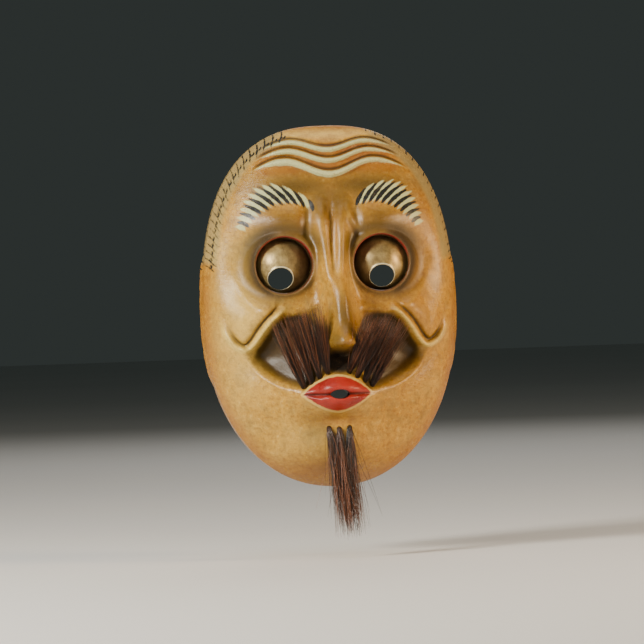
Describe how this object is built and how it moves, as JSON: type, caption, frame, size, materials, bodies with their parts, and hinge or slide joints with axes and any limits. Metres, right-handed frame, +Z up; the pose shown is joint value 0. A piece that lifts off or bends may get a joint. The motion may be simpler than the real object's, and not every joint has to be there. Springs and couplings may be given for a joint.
{
  "type": "noh mask",
  "caption": "Carved and painted wooden comic noh mask, hollow behind, with domed gilt metal eyes, a puckered mouth, and hair tufts planted in its lip and chin.",
  "frame": {"origin": "middle of the flat back rim, on the plane that rests against a face or a wall", "axes": "+Z up the face, -Y the way the face looks, +X the viewer's right"},
  "size_m": [0.14, 0.0769, 0.2264],
  "materials": {
    "painted_wood": "aged cream gofun paint over carved cypress, satin",
    "gilt_metal": "worn gilding on copper",
    "hair": "dark brown horsehair",
    "bare_wood": "bare split cypress pegs"
  },
  "bodies": {
    "root": {"mask_shell": "painted_wood", "eyeball_left": "gilt_metal", "eyeball_right": "gilt_metal", "moustache_left_1": "hair", "moustache_left_2": "hair", "moustache_left_3": "hair", "moustache_left_4": "hair", "moustache_right_1": "hair", "moustache_right_2": "hair", "moustache_right_3": "hair", "moustache_right_4": "hair", "beard_left": "hair", "beard_centre": "hair", "beard_right": "hair", "moustache_pegs_left": "bare_wood", "moustache_pegs_right": "bare_wood", "beard_pegs": "bare_wood"}
  },
  "joints": []
}
